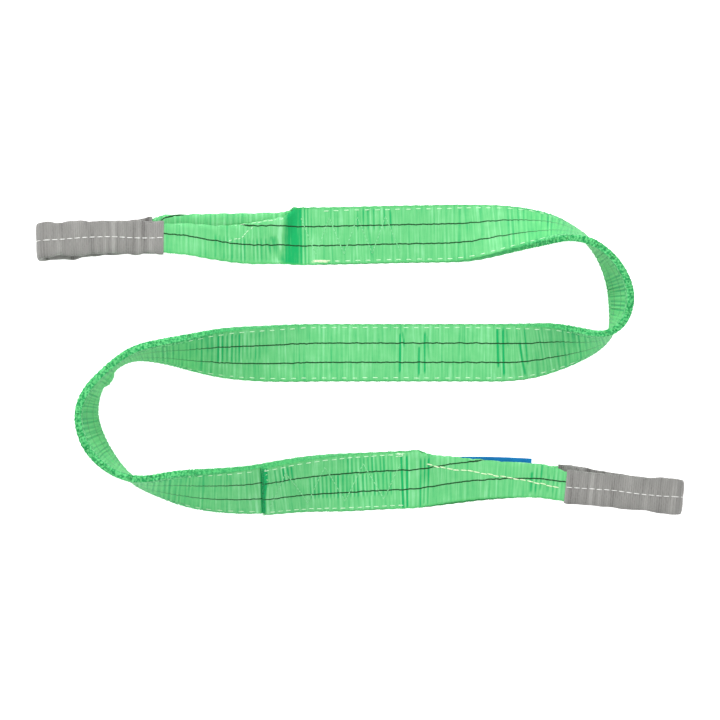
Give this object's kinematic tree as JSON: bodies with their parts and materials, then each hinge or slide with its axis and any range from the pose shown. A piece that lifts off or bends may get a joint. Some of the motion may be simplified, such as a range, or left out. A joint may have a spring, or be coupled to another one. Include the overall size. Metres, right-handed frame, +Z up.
{
  "type": "flat web sling",
  "caption": "Flat web lifting sling of green webbing with dark woven stripes, lying in an S with a folded, grey-sleeved eye at each end.",
  "frame": {"origin": "on the floor under the centre of the sling's bounding box, as it lies in an S", "axes": "+X along the runs from eye A's end of the floor plan to eye B's, +Y towards the run that ends in eye A, +Z up"},
  "size_m": [0.6754, 0.324, 0.0608],
  "materials": {
    "green_webbing": "woven polyester webbing with a slight sheen",
    "grey_sleeve": "matte woven wear sleeve",
    "white_thread": "sewing thread",
    "green_thread": "sewing thread",
    "blue_label": "satin woven label"
  },
  "bodies": {
    "middle_run": {"middle_run_face_ply": "green_webbing", "middle_run_back_ply": "green_webbing", "middle_run_near_seam": "white_thread", "middle_run_far_seam": "white_thread"},
    "right_bend_near": {"right_bend_near_face_ply": "green_webbing", "right_bend_near_back_ply": "green_webbing"},
    "right_bend_far": {"right_bend_far_face_ply": "green_webbing", "right_bend_far_back_ply": "green_webbing"},
    "top_run": {"top_run_face_ply": "green_webbing", "top_run_back_ply": "green_webbing", "top_run_near_seam": "white_thread", "top_run_far_seam": "white_thread", "splice_a_stitching": "green_thread"},
    "eye_a": {"eye_a_webbing": "green_webbing", "eye_a_sleeve": "grey_sleeve", "eye_a_sleeve_seam": "white_thread"},
    "left_bend_near": {"left_bend_near_face_ply": "green_webbing", "left_bend_near_back_ply": "green_webbing"},
    "left_bend_far": {"left_bend_far_face_ply": "green_webbing", "left_bend_far_back_ply": "green_webbing"},
    "bottom_run": {"bottom_run_face_ply": "green_webbing", "bottom_run_back_ply": "green_webbing", "bottom_run_overlap": "green_webbing", "bottom_run_near_seam": "white_thread", "bottom_run_far_seam": "white_thread", "overlap_near_seam": "white_thread", "overlap_far_seam": "white_thread", "splice_b_stitching": "green_thread"},
    "eye_b": {"eye_b_webbing": "green_webbing", "eye_b_sleeve": "grey_sleeve", "eye_b_sleeve_seam": "white_thread", "label_sewn_end": "blue_label"},
    "label": {"label": "blue_label"}
  },
  "joints": [
    {"name": "right_bend_inner_hinge", "type": "hinge", "parent": "middle_run", "child": "right_bend_near", "pos_m": [0.26111, 0.02982, 0.03002], "axis": [0, 0, -1], "range_deg": [0, 60]},
    {"name": "right_bend_middle_hinge", "type": "hinge", "parent": "right_bend_near", "child": "right_bend_far", "pos_m": [0.26935, 0.07755, 0.02982], "axis": [0, 0, -1], "range_deg": [0, 60]},
    {"name": "right_bend_outer_hinge", "type": "hinge", "parent": "right_bend_far", "child": "top_run", "pos_m": [0.23718, 0.12391, 0.03003], "axis": [0, 0, -1], "range_deg": [0, 60]},
    {"name": "eye_a_fold", "type": "hinge", "parent": "top_run", "child": "eye_a", "pos_m": [-0.07315, 0.12854, 0.003], "axis": [-0.0218, 0.9998, 0], "range_deg": [0, 90]},
    {"name": "left_bend_inner_hinge", "type": "hinge", "parent": "middle_run", "child": "left_bend_near", "pos_m": [-0.25181, -0.00242, 0.03022], "axis": [0, 0, -1], "range_deg": [0, 60]},
    {"name": "left_bend_middle_hinge", "type": "hinge", "parent": "left_bend_near", "child": "left_bend_far", "pos_m": [-0.28399, -0.05976, 0.02993], "axis": [0, 0, -1], "range_deg": [0, 60]},
    {"name": "left_bend_outer_hinge", "type": "hinge", "parent": "left_bend_far", "child": "bottom_run", "pos_m": [-0.23994, -0.12209, 0.03001], "axis": [0, 0, -1], "range_deg": [0, 60]},
    {"name": "eye_b_fold", "type": "hinge", "parent": "bottom_run", "child": "eye_b", "pos_m": [0.05796, -0.12442, 0.00465], "axis": [0.0068, -1, 0], "range_deg": [0, 90]},
    {"name": "label_flap", "type": "hinge", "parent": "eye_b", "child": "label", "pos_m": [0.08396, -0.12441, 0.0033], "axis": [-0.0165, -0.9999, 0], "range_deg": [0, 4]}
  ],
  "couplings": [
    {"joint": "right_bend_middle_hinge", "follows": "right_bend_inner_hinge", "ratio": 1},
    {"joint": "right_bend_outer_hinge", "follows": "right_bend_inner_hinge", "ratio": 1},
    {"joint": "left_bend_middle_hinge", "follows": "left_bend_inner_hinge", "ratio": 1},
    {"joint": "left_bend_outer_hinge", "follows": "left_bend_inner_hinge", "ratio": 1}
  ]
}
